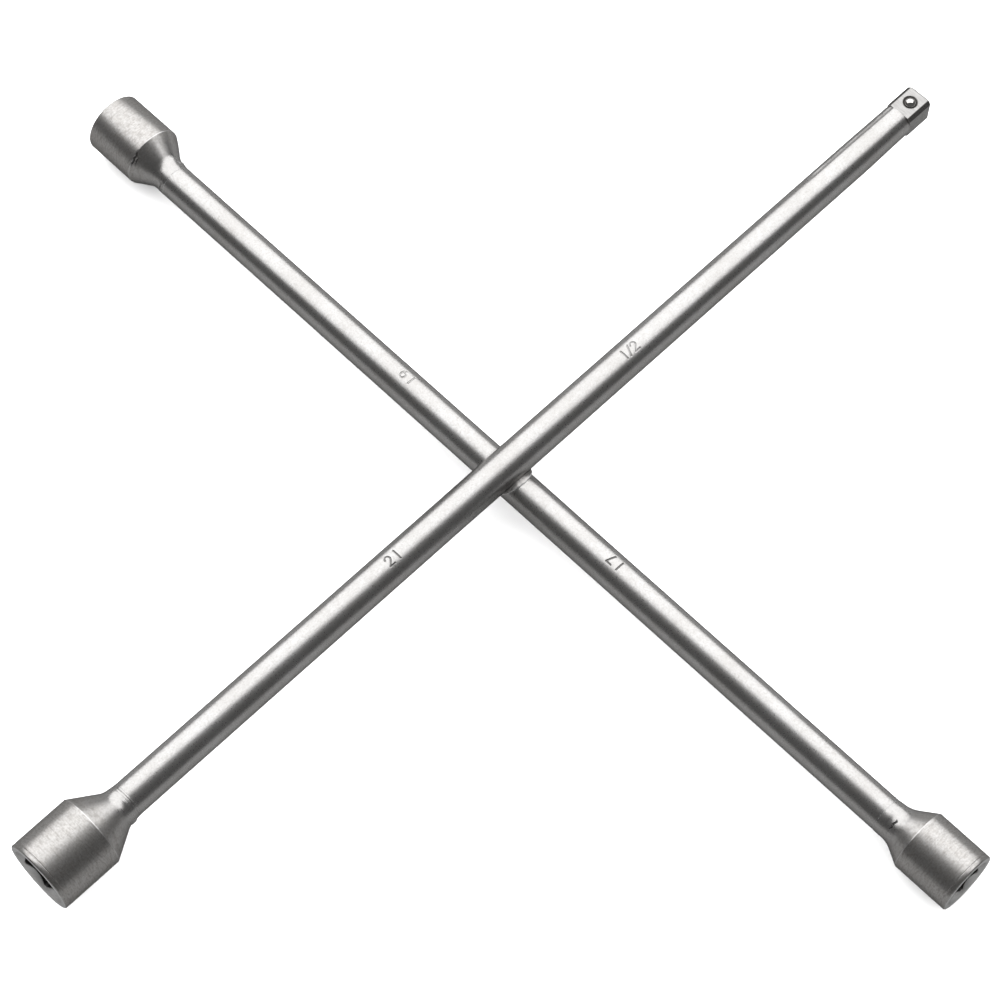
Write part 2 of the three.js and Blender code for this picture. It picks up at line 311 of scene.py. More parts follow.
def head_steel(head):
    """Rougher plate than the bars', with turning marks and short streaks that run round the head's
    own axis. The neck is as smooth as the bar, the rim is worn and painted lighter as its edge
    highlight, a painted highlight runs where the barrel meets the cone, and the hexagon is painted
    dark as shade."""
    g = Graph(head.node + "_plate")
    place = g.place()
    across = tuple(1.0 - abs(v) for v in head.out)
    axial = tuple(1.0 - a for a in across)
    local = g.vector("SUBTRACT", place, tuple(head.centre))
    radial = g.length(g.vector("MULTIPLY", local, across))
    inner = g.math("ABSOLUTE", g.dot(local, axial))
    beside = g.dot(local, (across[0], across[1], 0))
    turn = g.math("ARCTAN2", beside, g.dot(local, (0, 0, 1)))
    track = g.math("ADD", inner, radial)
    wrapped = g.math("MULTIPLY", turn, STREAK_STRETCH)
    rolled = g.add("CombineXYZ", {0: track, 1: wrapped}).outputs[0]
    streak = g.noise(rolled, 1500, 2.0)
    turning = g.add("TexNoise", {"W": track, "Scale": 1500, "Detail": 2.0}, noise_dimensions="1D")
    mottle = g.noise(place, 360, 3.0)
    grain = g.noise(place, 1300, 3.0)
    behind = g.math("SUBTRACT", head.length / 2, g.dot(local, tuple(head.out)))
    on_neck = g.between(radial, 1, 0, BAR_RADIUS * 1.02, BAR_RADIUS * 1.8)
    tone = g.mix(g.between(mottle, 0, 1), grey(0.52, 0.028), grey(0.54, 0.018))
    tone = g.mix(g.between(streak, 0, 0.7, 0.45, 0.8), tone, grey(0.28, 0.06))
    tone = g.mix(g.between(grain, 0, 0.48, 0.42, 0.75), tone, grey(0.25, 0.08))
    tone = g.mix(g.between(on_neck, 0, 0.7, 0, 1), tone, grey(0.50, 0.012))
    # A painted highlight along the line where the barrel meets the cone.
    off_line = g.math("ABSOLUTE", g.math("SUBTRACT", behind, head.barrel))
    tone = g.mix(g.between(off_line, 0.5, 0, 0.06 * MM, 0.24 * MM), tone, grey(0.85, 0.0))
    tone = g.mix(g.between(g.marks(), 0, 0.85, 0.1, 0.9), tone, grey(0.09, 0.03))
    # The rim at the mouth is worn, and is also painted lighter as the highlight on its edge.
    worn = g.between(inner, 0, 1, head.length / 2 - 0.10 * MM, head.length / 2 - 0.04 * MM)
    tone = g.mix(g.math("MULTIPLY", worn, 0.85), tone, grey(0.75, 0.0))
    # Inside the mouth the lead-in cone is worn light, and the hexagon deeper in is painted dark as
    # shade.
    within = g.between(radial, 1, 0, head.cone + 0.02 * MM, head.cone + 0.15 * MM)
    bottom = head.depth + RELIEF_TIP
    ahead = g.between(behind, 1, 0, bottom + 0.2 * MM, bottom + 0.7 * MM)
    in_mouth = g.math("MULTIPLY", within, ahead)
    past_cone = g.math("SUBTRACT", g.math("ADD", behind, radial), head.cone)
    deep = g.math("MULTIPLY", in_mouth, g.between(past_cone, 0, 1, 0.10 * MM, 0.45 * MM))
    lead = g.math("MULTIPLY", g.math("SUBTRACT", in_mouth, deep), g.math("SUBTRACT", 1.0, worn))
    tone = g.mix(g.math("MULTIPLY", lead, 0.6), tone, grey(0.62, 0.0))
    # Painted shade inside the hexagon.
    tone = g.mix(g.math("MULTIPLY", deep, 0.92), tone, grey(0.07, 0.02))
    g.feed("Base Color", tone)
    rough = g.between(streak, 0.32, 0.40)
    g.feed("Roughness", g.math("ADD", rough, g.math("MULTIPLY", on_neck, -0.06)))
    low = g.bump(turning.outputs["Fac"], 0.16, 0.03 * MM)
    low = g.bump(streak, g.between(on_neck, 0.34, 0.08, 0, 1), 0.03 * MM, low)
    g.feed("Normal", g.bump(grain, 0.20, 0.03 * MM, low))
    g.fix(Specular_Tint=grey(0.45))
    # The rim's lower metal look goes with its wear and its painted highlight.
    rim_loss = g.math("MULTIPLY", worn, RIM_LOSS)
    matt = g.math("ADD", rim_loss, g.math("MULTIPLY", lead, LEAD_IN_LOSS))
    g.feed("Metallic", g.math("SUBTRACT", 1.0, matt))
    return g.material


def plain_steel(name, dark, light, rough, grain_scale, strength, painted_highlight=None):
    """Plain mottled metal. A painted highlight, where given, is how light the mesh's marked places
    are painted.
    """
    g = Graph(name)
    place = g.place()
    mottle = g.noise(place, grain_scale / 4, 3.0)
    grain = g.noise(place, grain_scale, 3.0)
    tone = g.mix(g.between(mottle, 0, 1), grey(dark, 0.03), grey(light, 0.02))
    if painted_highlight is not None:
        tone = g.mix(g.marks(), tone, grey(painted_highlight))
    g.feed("Base Color", tone)
    g.feed("Roughness", g.between(mottle, rough * 0.85, rough * 1.15))
    g.feed("Normal", g.bump(grain, strength, 0.05 * MM))
    g.fix(Metallic=1.0 if painted_highlight is None else SOFT_METAL)
    return g.material


DRIVE_STEEL = bar_steel("drive_bar_plate", "x")
CROSS_STEEL = bar_steel("cross_bar_plate", "y")
WELD_STEEL = plain_steel("weld_plate", 0.42, 0.52, 0.46, 1200, 0.35, painted_highlight=0.9)
BALL_STEEL = plain_steel("ball_polish", 0.66, 0.74, 0.10, 900, 0.04)
SPRING_STEEL = plain_steel("spring_wire", 0.22, 0.34, 0.32, 2500, 0.2)


# ---- Stamped sizes ----
DIGIT_HEIGHT = 4.45 * MM
DIGIT_WIDTH = 2.8 * MM
DIGIT_STEP = 4.2 * MM
STROKE = 0.35 * MM  # half of a stroke's width
STAMP_DEPTH = 0.28 * MM
ARC_POINTS = 12


def arc(x, y, rx, ry, start, stop):
    out = []
    for i in range(ARC_POINTS + 1):
        a = math.radians(start + (stop - start) * i / ARC_POINTS)
        out.append((x + rx * math.cos(a), y + ry * math.sin(a)))
    return out


GLYPHS = {
    "1": [[(0.5, 0.0), (0.5, 1.0)]],
    "2": [arc(0.5, 0.69, 0.42, 0.31, 172, -38) + [(0.08, 0.0), (0.94, 0.0)]],
    "7": [[(0.06, 1.0), (0.94, 1.0), (0.42, 0.0)]],
    "9": [arc(0.5, 0.68, 0.40, 0.32, 0, 360), arc(0.16, 0.62, 0.74, 0.62, 0, -62)],
    "/": [[(0.12, -0.04), (0.88, 1.04)]],
}


def strokes_of(text, step):
    """Line segments of a stamped text in metres, centred on its own middle."""
    width = step * (len(text) - 1) + DIGIT_WIDTH
    out = []
    for i, sign in enumerate(text):
        left = i * step - width / 2
        for line in GLYPHS[sign]:
            spots = [
                Vector((left + x * DIGIT_WIDTH, (y - 0.5) * DIGIT_HEIGHT)) for x, y in line
            ]
            out += list(zip(spots, spots[1:]))
    return out


def distance_to(segments, x, y):
    best = 1.0
    spot = Vector((x, y))
    for a, b in segments:
        run = b - a
        share = min(1.0, max(0.0, (spot - a).dot(run) / run.length_squared))
        best = min(best, (spot - a - run * share).length)
    return best


class Stamp:
    """A text stamped on top of a bar. at is its middle along the bar from the crossing, rise how
    far round the bar it sits, both in millimetres, and dark how dark the painted shade and dirt in
    its strokes are, 0 to 1."""

    def __init__(self, text, at, rise, dark, step=DIGIT_STEP):
        self.segments = strokes_of(text, step)
        self.at, self.rise, self.dark = at * MM, rise * MM, dark
        self.reach = DIGIT_STEP * len(text) / 2 + 2 * STROKE

    def press(self, along, up):
        """How far the metal is pressed in, from 0 to 1, at a place on the bar."""
        x, y = along - self.at, up - self.rise
        if abs(x) > self.reach or abs(y) > DIGIT_HEIGHT:
            return 0.0
        far = distance_to(self.segments, x, y)
        return 1 - smooth(STROKE * 0.55, STROKE * 1.25, far)


def pressing(stamps, along, up):
    """How far the stamps press the metal in at a place, and how dark it is there."""
    pressed = [s.press(along, up) for s in stamps]
    mark = max(p * s.dark for p, s in zip(pressed, stamps))
    return max(p * (0.5 + 0.5 * s.dark) for p, s in zip(pressed, stamps)), mark


# ---- Bars ----
FINE_STEP = 0.14 * MM
FINE_ANGLE = 1.1
COARSE_ANGLE = 4.0
TOP_ZONE = 52  # degrees either side of the top that hold the stamps and the flash line
COARSE_STEP = 6 * MM
SADDLE_STEP = 0.3 * MM
FUSE_GAP = 0.015 * MM
SEAM_BREAK = 0.03 * MM
WAVER = 0.03 * MM


def ring_angles(extra=()):
    """Degrees round a bar for the points of its rings, close together near the top."""
    fine = spread(-TOP_ZONE, TOP_ZONE, FINE_ANGLE)
    rest = spread(TOP_ZONE, 360 - TOP_ZONE, COARSE_ANGLE)[1:-1]
    rest = [a if a <= 180 else a - 360 for a in rest]
    return merged(fine, rest, extra, gap=0.2)


def stations(low, high, stamps, extra=()):
    """Places along a bar for its rings, close together at the stamps and the crossing."""
    runs = [spread(low, high, COARSE_STEP)]
    for stamp in stamps:
        runs.append(spread(stamp.at - stamp.reach, stamp.at + stamp.reach, FINE_STEP))
    runs.append(spread(-BAR_RADIUS * 1.05, BAR_RADIUS * 1.05, SADDLE_STEP))
    return [v for v in merged(*runs, extra, gap=0.02 * MM) if low <= v <= high]


def waver(along, angle, seed):
    """The drawn bar's slight unevenness."""
    spot = Vector((along * 30, math.sin(math.radians(angle)), seed))
    return WAVER * noise.noise(spot)


def fused_low(x):
    """The lowest that the drive bar reaches at x from the crossing, where the bars meet."""
    reach = BAR_RADIUS + FUSE_GAP
    if abs(x) >= reach:
        return -1.0
    return min(SEAT_Z, CROSS_Z + math.sqrt(reach**2 - x**2)) + FUSE_GAP


def fused_high(y):
    """The highest that the cross bar reaches at y from the crossing."""
    reach = BAR_RADIUS + FUSE_GAP
    if abs(y) >= reach:
        return 1.0
    return max(SEAT_Z, DRIVE_Z - math.sqrt(reach**2 - y**2)) - FUSE_GAP


# The parting line that forging left near the drive end.
FLASH_ANGLE = 41  # degrees from the top of the bar
FLASH_LENGTH = 57 * MM
FLASH_HEIGHT = 0.13 * MM
FLASH_HALF = 0.75 * MM
FLASH_STEP = 1.5 * MM


def square_radius(angle, shrink=0.0):
    """How far the square's outline lies from the axis, in the direction angle."""
    off = math.radians((angle + 45) % 90 - 45)
    return min((FLAT - shrink) / math.cos(off), CORNER - shrink * 1.1)


def flash_line(x, angle, start):
    """How far the parting line stands out: a low ridge with a shallow groove beside it."""
    off = math.radians(angle - FLASH_ANGLE) * BAR_RADIUS
    rise = FLASH_HEIGHT * smooth(start, start + 9 * MM, x)
    worn = 0.75 + 0.5 * noise.noise(Vector((x * 420, 0, 7.7)))
    ridge = worn * (1 - smooth(0, FLASH_HALF, abs(off)))
    groove = 0.5 * (1 - smooth(0, FLASH_HALF * 1.4, abs(off + FLASH_HALF * 1.9)))
    return rise * (ridge - groove)


def tapered(x, angle):
    """How much slimmer the drive bar is towards the square, least on the side that faces +Y."""
    slim = smooth(TAPER_START, SHOULDER, x)
    side = 0.675 - 0.325 * math.sin(math.radians(angle))
    return slim * (BAR_RADIUS - SHOULDER_RADIUS) * side * 1.4


def square_profile():
    """The square's rings as (distance from the crossing, how far its outline is drawn in)."""
    out = [(SHOULDER - 0.05 * MM, 0.35 * MM), (SHOULDER, 0.0), (SHOULDER + 0.15 * MM, 0.0)]
    out += [(SHOULDER + SQUARE_LENGTH * t, 0.0) for t in (0.2, 0.4, 0.6, 0.8)]
    end = SHOULDER + SQUARE_LENGTH
    out += [(end - TIP_CHAMFER, 0.0), (end - EDGE, TIP_CHAMFER - EDGE)]
    return out + [(end, TIP_CHAMFER + EDGE * 0.4)]


def drive_bar():
    stamps = [Stamp("21", -62.6, -0.13, 0.8), Stamp("1/2", 69.9, -0.45, 0.5, 2.9 * MM)]
    turn = math.degrees(math.acos(FLAT / CORNER))
    corners = [90 * q + s * (turn + d) for q in range(-2, 3) for s in (-1, 1) for d in (-1, 0, 1)]
    angles = ring_angles([a for a in corners if -180 < a <= 180])
    low = DRIVE_LOW.x - CROSSING.x
    flash_start = SHOULDER - FLASH_LENGTH
    extra = [low + SEAM_BREAK, TAPER_START, SHOULDER - 0.25 * MM]
    extra += spread(flash_start, SHOULDER - 0.25 * MM, FLASH_STEP)
    rings, marks = [], [0.0]

    def spot(x, angle, radius):
        a = math.radians(angle)
        y = CROSSING.y + radius * math.sin(a)
        z = DRIVE_Z + radius * math.cos(a)
        return Vector((CROSSING.x + x, y, max(z, fused_low(x))))

    for x in stations(low, SHOULDER - 0.1 * MM, stamps, extra):
        ring = []
        for angle in angles:
            radius = BAR_RADIUS + waver(x, angle, 1.3) - WAVER
            radius -= tapered(x, angle)
            if x - low < SEAM_BREAK:
                radius -= SEAM_BREAK
            if x > flash_start:
                radius += flash_line(x, angle, flash_start)
            arc_up = math.radians(angle) * BAR_RADIUS
            pressed, mark = pressing(stamps, x, arc_up)
            if x > SHOULDER - 0.2 * MM:
                radius -= EDGE
            radius -= pressed * STAMP_DEPTH
            ring.append(spot(x, angle, radius))
            marks.append(mark)
        rings.append(ring)
    for x, shrink in square_profile():
        rings.append([spot(x, a, square_radius(a, shrink)) for a in angles])
        marks += [0.0] * len(angles)
    marks.append(0.0)
    start = Vector((CROSSING.x + low, CROSSING.y, DRIVE_Z))
    made = skin(rings, start, Vector((TIP_X, CROSSING.y, DRIVE_Z)))
    name, node, slot = "drive_bar_steel", "drive_bar", "bar_chrome"
    return add_piece(name, made, DRIVE_STEEL, "wrench", node, marks=marks)


def cross_bar():
    stamps = [Stamp("17", -60.4, -0.95, 1.0), Stamp("19", 57.7, -1.15, 0.4)]
    angles = ring_angles()
    low, high = CROSS_LOW.y - CROSSING.y, CROSS_HIGH.y - CROSSING.y
    rings, marks = [], [0.0]
    for y in stations(low, high, stamps, [low + SEAM_BREAK, high - SEAM_BREAK]):
        ring = []
        for angle in angles:
            radius = BAR_RADIUS + waver(y, angle, 5.1) - WAVER
            if min(y - low, high - y) < SEAM_BREAK:
                radius -= SEAM_BREAK
            arc_up = -math.radians(angle) * BAR_RADIUS
            pressed, mark = pressing(stamps, y, arc_up)
            radius -= pressed * STAMP_DEPTH
            a = math.radians(angle)
            z = min(CROSS_Z + radius * math.cos(a), fused_high(y))
            ring.append(Vector((CROSSING.x + radius * math.sin(a), CROSSING.y + y, z)))
            marks.append(mark)
        rings.append(ring)
    marks.append(0.0)
    ends = [Vector((CROSSING.x, CROSSING.y + y, CROSS_Z)) for y in (low, high)]
    made = skin(rings, *ends)
    name, node, slot = "cross_bar_steel", "cross_bar", "bar_chrome"
    add_piece(name, made, CROSS_STEEL, "wrench", node, marks=marks)


# The detent hole as (radius, height over the bar's axis) in millimetres, from its floor past the
# staked lip and its dimple to above the flat.
HOLE_PROFILE = [
    (0, -3.6), (2.7, -3.6), (2.88, -3.4), (2.88, 5.1), (2.86, 5.3), (2.66, 5.85), (2.62, 6.02),
    (2.72, 6.1), (3.1, 6.18), (3.32, 6.3), (3.46, 6.5), (3.5, 6.9), (0, 6.9),
]
HOLE_SIDES = 72


def hole_cutter():
    rings = []
    for radius, height in HOLE_PROFILE[1:-1]:
        ring = []
        for i in range(HOLE_SIDES):
            a = 2 * math.pi * i / HOLE_SIDES
            x, y = radius * math.cos(a) * MM, radius * math.sin(a) * MM
            ring.append(Vector((BALL_CENTRE.x + x, CROSSING.y + y, DRIVE_Z + height * MM)))
        rings.append(ring)
    heights = [DRIVE_Z + HOLE_PROFILE[i][1] * MM for i in (0, -1)]
    points, faces = skin(rings, *[Vector((BALL_CENTRE.x, CROSSING.y, z)) for z in heights])
    mesh = bpy.data.meshes.new("hole_cutter")
    mesh.from_pydata([tuple(p) for p in points], [], faces)
    work = bmesh.new()
    work.from_mesh(mesh)
    bmesh.ops.recalc_face_normals(work, faces=work.faces)
    work.to_mesh(mesh)
    work.free()
    cutter = bpy.data.objects.new("hole_cutter", mesh)
    bpy.context.scene.collection.objects.link(cutter)
    return cutter


def cut_detent_hole(bar):
    """Cuts the blind hole under the ball into the drive bar."""
    cutter = hole_cutter()
    change = bar.modifiers.new("hole", "BOOLEAN")
    change.operation = "DIFFERENCE"
    change.solver = "EXACT"
    change.object = cutter
    graph = bpy.context.evaluated_depsgraph_get()
    cut = bpy.data.meshes.new_from_object(bar.evaluated_get(graph))
    bar.modifiers.clear()
    bar.data = cut
    cut.polygons.foreach_set("use_smooth", [True] * len(cut.polygons))
    cut.set_sharp_from_angle(angle=math.radians(SHARP_ANGLE))
    bpy.data.objects.remove(cutter)


# ---- Weld collar ----
COLLAR_STEPS = 220
COLLAR_SIDES = 14
# In millimetres: how far its rim stands out, how far it reaches in, and half its thickness.
COLLAR_STAND = 1.8
COLLAR_ROOT = 1.0
COLLAR_HALF = 0.30


def bars_at(x, y):
    """The cross bar's top and the drive bar's underside, x and y from the crossing."""
    top = CROSS_Z + math.sqrt(max(0.0, BAR_RADIUS**2 - x**2))
    under = DRIVE_Z - math.sqrt(max(0.0, BAR_RADIUS**2 - y**2))
    return top, under


def fused_line(angle):
    """How far from the crossing the two bars' surfaces meet in the plan direction angle, and how
    high."""
    across, ahead = abs(math.cos(angle)), abs(math.sin(angle))
    low, high = 0.0, BAR_RADIUS * 1.5
    for _ in range(40):
        mid = (low + high) / 2
        x, y = across * mid, ahead * mid
        top, under = bars_at(x, y)
        inside = x < BAR_RADIUS and y < BAR_RADIUS and under < top
        low, high = (mid, high) if inside else (low, mid)
    return low, sum(bars_at(across * low, ahead * low)) / 2


def weld_collar():
    """The metal squeezed out where the bars meet: a thin uneven rim that follows their meeting
    line, with a painted highlight along its outer edge."""
    rings, marks = [], []
    for i in range(COLLAR_STEPS):
        angle = 2 * math.pi * i / COLLAR_STEPS
        reach, height = fused_line(angle)
        out = Vector((math.cos(angle), math.sin(angle), 0))
        wobble = noise.noise(out * 2.3 + Vector((0, 0, 3.1)))
        fine = noise.noise(out * 9.0 + Vector((0, 0, 8.2)))
        fuller = 0.1 * max(0.0, math.cos(angle + math.radians(40))) ** 2
        fuller += 1.1 * max(0.0, -out.y) ** 6
        stand = (COLLAR_STAND + 0.35 * wobble + 0.12 * fine + fuller) * MM
        half = (stand + COLLAR_ROOT * MM) / 2
        thick = (COLLAR_HALF + 0.06 * wobble) * MM
        centre = Vector((CROSSING.x, CROSSING.y, 0)) + out * (reach + stand - half)
        centre.z = height + 0.1 * MM * fine
        ring = []
        for k in range(COLLAR_SIDES):
            a = 2 * math.pi * k / COLLAR_SIDES
            c, s = math.cos(a), math.sin(a)
            along = math.copysign(abs(c) ** 0.7, c) * half
            ring.append(centre + out * along + UP * math.copysign(abs(s) ** 0.8, s) * thick)
            # Marks the outer edge of the rim for its painted highlight.
            marks.append(max(0.0, c) ** 6)
        rings.append(ring)
    name, node, slot = "weld_collar", "centre_weld", "weld_steel"
    add_piece(name, hoop(rings), WELD_STEEL, "wrench", node, sharp=60, marks=marks)


# ---- Socket heads ----
HEAD_SIDES = 288
HEX_ROUND = 0.35 * MM
LEAD_IN = 0.7 * MM  # how far the lead-in cone reaches past the hexagon's corners
MOUTH_EDGE = 0.4 * MM
BAND = 2.1 * MM  # the ring groove's distance behind the mouth
GROOVE_HALF = 0.22 * MM
GROOVE_DEPTH = 0.13 * MM
GROOVE_STEP = 0.03 * MM
RIM_EASE = 0.10 * MM
HEX_EASE = 0.12 * MM  # where the lead-in cone ends and the hexagon begins
# The round relief behind the hexagon: its wall's length, then its cone down to its deepest point.
RELIEF_WALL = 3.5 * MM
RELIEF_CONE = 5 * MM
RELIEF_TIP = 6.3 * MM
CONE_SLOPE = 0.6
JUNCTION_ROUND = 1.0 * MM
SCAR_FADE = 12  # degrees over which a scar runs out at its ends
SCAR_GAP = 0.02 * MM
SCAR_DARK = 0.3 * MM  # how deep a scar is where it is darkest


def arc_between(a, b, c, radius, steps=8):
    """Points on an arc that rounds the corner at b between the lines a-b and b-c."""
    a, b, c = Vector(a), Vector(b), Vector(c)
    back, ahead = (a - b).normalized(), (c - b).normalized()
    half = back.angle(ahead) / 2
    centre = b + (back + ahead).normalized() * radius / math.sin(half)
    first = b + back * radius / math.tan(half) - centre
    last = b + ahead * radius / math.tan(half) - centre
    turn = first.angle(last)
    out = []
    for i in range(steps + 1):
        t = i / steps
        spoke = (first * math.sin((1 - t) * turn) + last * math.sin(t * turn)) / math.sin(turn)
        out.append(tuple(centre + spoke))
    return out


class Scar:
    """A ragged mark left by forging or welding, part of the way round a head. start and stop are
    in degrees, sizes in millimetres, and a negative depth stands proud."""

    def __init__(self, start, stop, behind, half, depth, ragged=0.5):
        self.start, self.stop = start, stop
        self.behind, self.half, self.depth = behind * MM, half * MM, depth * MM
        self.ragged = ragged

    def sink(self, angle, behind):
        """How far the scar is sunk at an angle round the head and a distance behind its mouth."""
        degrees = math.degrees(angle) % 360
        middle_angle, half_angle = (self.start + self.stop) / 2, (self.stop - self.start) / 2
        off = (degrees - middle_angle + 180) % 360 - 180
        if half_angle < 180:
            window = 1 - smooth(half_angle - SCAR_FADE, half_angle, abs(off))
        else:
            window = 1.0
        spot = Vector((math.cos(angle), math.sin(angle), self.behind / MM))
        shift = self.ragged * self.half * 2 * noise.noise(spot * 9)
        rough = 1 + self.ragged * 1.4 * noise.noise(spot * 21)
        far = abs(behind - self.behind - shift)
        return self.depth * window * rough * (1 - smooth(self.half * 0.3, self.half, far))


class Head:
    """A socket head. out points out of its mouth, and sizes are in millimetres. neck_step is how
    much thicker its neck is than the bar, fillet rounds the neck into the cone, depth is the
    hexagon's, and a banded head has a ring groove near its mouth."""

    def __init__(self, node, out, across_flats, barrel, neck_step, fillet, depth, banded, scars):
        self.node, self.out = node, Vector(out)
        low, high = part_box(node)
        self.centre = (low + high) / 2
        size = high - low
        self.length = abs(size.dot(self.out))
        self.radius = size.z / 2
        self.side = self.out.cross(UP)
        self.mouth = self.centre + self.out * self.length / 2
        self.flat = across_flats * MM / 2
        self.barrel, self.neck_step, self.fillet = barrel * MM, neck_step * MM, fillet * MM
        self.depth, self.banded = depth * MM, banded
        self.cone = self.flat / math.cos(math.pi / 6) + LEAD_IN
        self.scars = scars
        bar_z = DRIVE_Z if abs(self.out.x) > 0.5 else CROSS_Z
        beside = Vector((CROSSING.x, CROSSING.y, bar_z)) - self.centre
        self.lean = beside - self.out * beside.dot(self.out)

    def hex_radius(self, angle):
        off = (angle + math.pi / 6) % (math.pi / 3) - math.pi / 6
        corner = self.flat / math.cos(math.pi / 6) - HEX_ROUND
        return min(self.flat / math.cos(off), corner)

    def outline(self):
        """Outer profile as (radius, distance behind the mouth), from the seam to the mouth."""
        r, neck = self.radius, BAR_RADIUS + self.neck_step
        cone_end = self.barrel + (r - neck) / CONE_SLOPE
        seam, kink = (neck, self.length), (neck, cone_end)
        shoulder, front = (r, self.barrel), (r, 0)
        rounded = arc_between(seam, kink, shoulder, self.fillet, 14)
        start = rounded[0][1]
        points = [(BAR_RADIUS - SEAM_BREAK, self.length), (BAR_RADIUS, self.length - SEAM_BREAK)]
        if self.length - start > 0.3 * MM:
            half_way = (self.length + start) / 2
            points.append((BAR_RADIUS + self.neck_step * 0.5, half_way))
        points += rounded
        points += arc_between(kink, shoulder, front, JUNCTION_ROUND, 7)
        if self.banded:
            points += [
                (r, BAND + GROOVE_HALF), (r - GROOVE_DEPTH, BAND + GROOVE_HALF * 0.3),
                (r - GROOVE_DEPTH, BAND - GROOVE_HALF * 0.3), (r - GROOVE_STEP, BAND - GROOVE_HALF),
            ]
            r -= GROOVE_STEP
        points += [
            (r, MOUTH_EDGE + 0.1 * MM), (r - 0.05 * MM, MOUTH_EDGE - 0.02 * MM),
            (r - MOUTH_EDGE + 0.05 * MM, 0.04 * MM), (r - MOUTH_EDGE - 0.04 * MM, 0),
        ]
        return self.refined(points)

    def refined(self, points):
        """The same profile with extra rings where a scar needs them."""
        extra = []
        for scar in self.scars:
            reach = scar.half * 3
            extra += spread(scar.behind - reach, scar.behind + reach, scar.half / 3)
        out = [points[0]]
        for before, after in zip(points, points[1:]):
            gap = before[1] - after[1]
            inside = [b for b in extra if after[1] + SCAR_GAP < b < before[1] - SCAR_GAP]
            for behind in sorted(inside, reverse=True):
                if out[-1][1] - behind > SCAR_GAP:
                    share = (before[1] - behind) / gap
                    out.append((before[0] + (after[0] - before[0]) * share, behind))
            out.append(after)
        return out

    def place(self, angle, radius, behind):
        across = self.side * math.cos(angle) + UP * math.sin(angle)
        lean = self.lean * smooth(self.barrel + 1 * MM, self.length, behind)
        return self.mouth - self.out * behind + lean + across * radius

    def skinned(self, angle, radius, behind):
        """A point of the outside with its scars, and how dark it is there."""
        sink = sum(scar.sink(angle, behind) for scar in self.scars)
        dark = min(1.0, max(0.0, sink / SCAR_DARK))
        return self.place(angle, min(radius - sink, self.radius), behind), dark

    def inside(self, turns):
        """Rings from the rim down the lead-in cone and the hexagon to the bottom of the hole."""
        inner = [self.hex_radius(a) for a in turns]
        rings = [[self.place(a, self.cone + RIM_EASE, 0) for a in turns]]
        rings.append([self.place(a, self.cone, RIM_EASE / 2) for a in turns])
        for share in (0.5, 1.0):
            drop = [(self.cone - h) * share for h in inner]
            rings.append([self.place(a, self.cone - d, d) for a, d in zip(turns, drop)])
        edge = [(h - 0.01 * MM, self.cone - h + HEX_EASE) for h in inner]
        rings.append([self.place(a, h, d) for a, (h, d) in zip(turns, edge)])
        for share in (0.35, 0.5, 0.75, 1.0):
            rings.append([self.place(a, h, self.depth * share) for a, h in zip(turns, inner)])
        relief = self.flat - 0.4 * MM
        for radius, behind in ((relief, 0), (relief, RELIEF_WALL), (relief / 2, RELIEF_CONE)):
            rings.append([self.place(a, radius, self.depth + behind) for a in turns])
        return rings

    def build(self):
        turns = [2 * math.pi * i / HEAD_SIDES for i in range(HEAD_SIDES)]
        rings, marks = [], [0.0]
        for radius, behind in self.outline():
            spots = [self.skinned(a, radius, behind) for a in turns]
            rings.append([spot for spot, _ in spots])
            marks += [dark for _, dark in spots]
        inner = self.inside(turns)
        marks += [0.0] * (len(inner) * HEAD_SIDES + 1)
        start = self.place(0, 0, self.length)
        end = self.mouth - self.out * (self.depth + RELIEF_TIP)
        made = skin(rings + inner, start, end)
        name, steel = self.node + "_steel", head_steel(self)
        add_piece(name, made, steel, "wrench", self.node, marks=marks)


def socket_heads():
    rings_21 = [Scar(0, 360, 43.4, 0.22, 0.09, 0.1), Scar(0, 360, 42.4, 0.18, 0.05, 0.1)]
    bump_21 = [Scar(178, 212, 40.7, 1.3, -0.35)]
    marks_19 = [Scar(116, 154, 25.6, 0.55, 0.40), Scar(124, 150, 26.9, 0.42, 0.26)]
    neck_19 = [Scar(140, 196, 39.6, 0.6, 0.20, 0.45), Scar(8, 52, 38.6, 0.8, -0.16, 0.9)]
    mark_17 = [Scar(38, 80, 34.2, 0.45, 0.34, 0.5)]
    heads = [
        Head(
            "socket_head_21", (-1, 0, 0), across_flats=21, barrel=26.3, neck_step=0.3, fillet=8,
            depth=20, banded=True, scars=rings_21 + bump_21,
        ),
        Head(
            "socket_head_19", (0, 1, 0), across_flats=19, barrel=25.3, neck_step=0.15, fillet=8,
            depth=19, banded=False, scars=marks_19 + neck_19,
        ),
        Head(
            "socket_head_17", (0, -1, 0), across_flats=17, barrel=24.6, neck_step=0.2, fillet=12,
            depth=18, banded=True, scars=mark_17,
        ),
    ]
    for head in heads:
        head.build()


# ---- Detent ----
BALL_SIDES = 64
BALL_ROWS = 40
BALL_WORN = 0.9995  # where the ball's flattened top is, as a share of its radius
SPRING_WIRE = 0.275 * MM  # half the wire's thickness
SPRING_TURNS = 5
SPRING_CLOSED = 1  # turns at each end that lie close together
CLOSED_PITCH = 0.6 * MM
WIRE_STEPS = 44  # a turn
WIRE_SIDES = 12


def detent_ball():
    """A polished ball, worn flat by a hair at the top where sockets slide over it."""
    rings = []
    for i in range(1, BALL_ROWS):
        a = math.pi * i / BALL_ROWS
        height = BALL_RADIUS * min(math.cos(a), BALL_WORN)
        radius = BALL_RADIUS * math.sin(a)
        ring = []
        for k in range(BALL_SIDES):
            t = 2 * math.pi * k / BALL_SIDES
            offset = Vector((radius * math.cos(t), radius * math.sin(t), height))
            ring.append(BALL_CENTRE + offset)
        rings.append(ring)
    top = BALL_CENTRE + UP * BALL_RADIUS * BALL_WORN
    made = skin(rings, top, BALL_CENTRE - UP * BALL_RADIUS)
    name, node, slot = "detent_ball_steel", "detent_ball", "ball_steel"
    add_piece(name, made, BALL_STEEL, "ball", node, sharp=60)


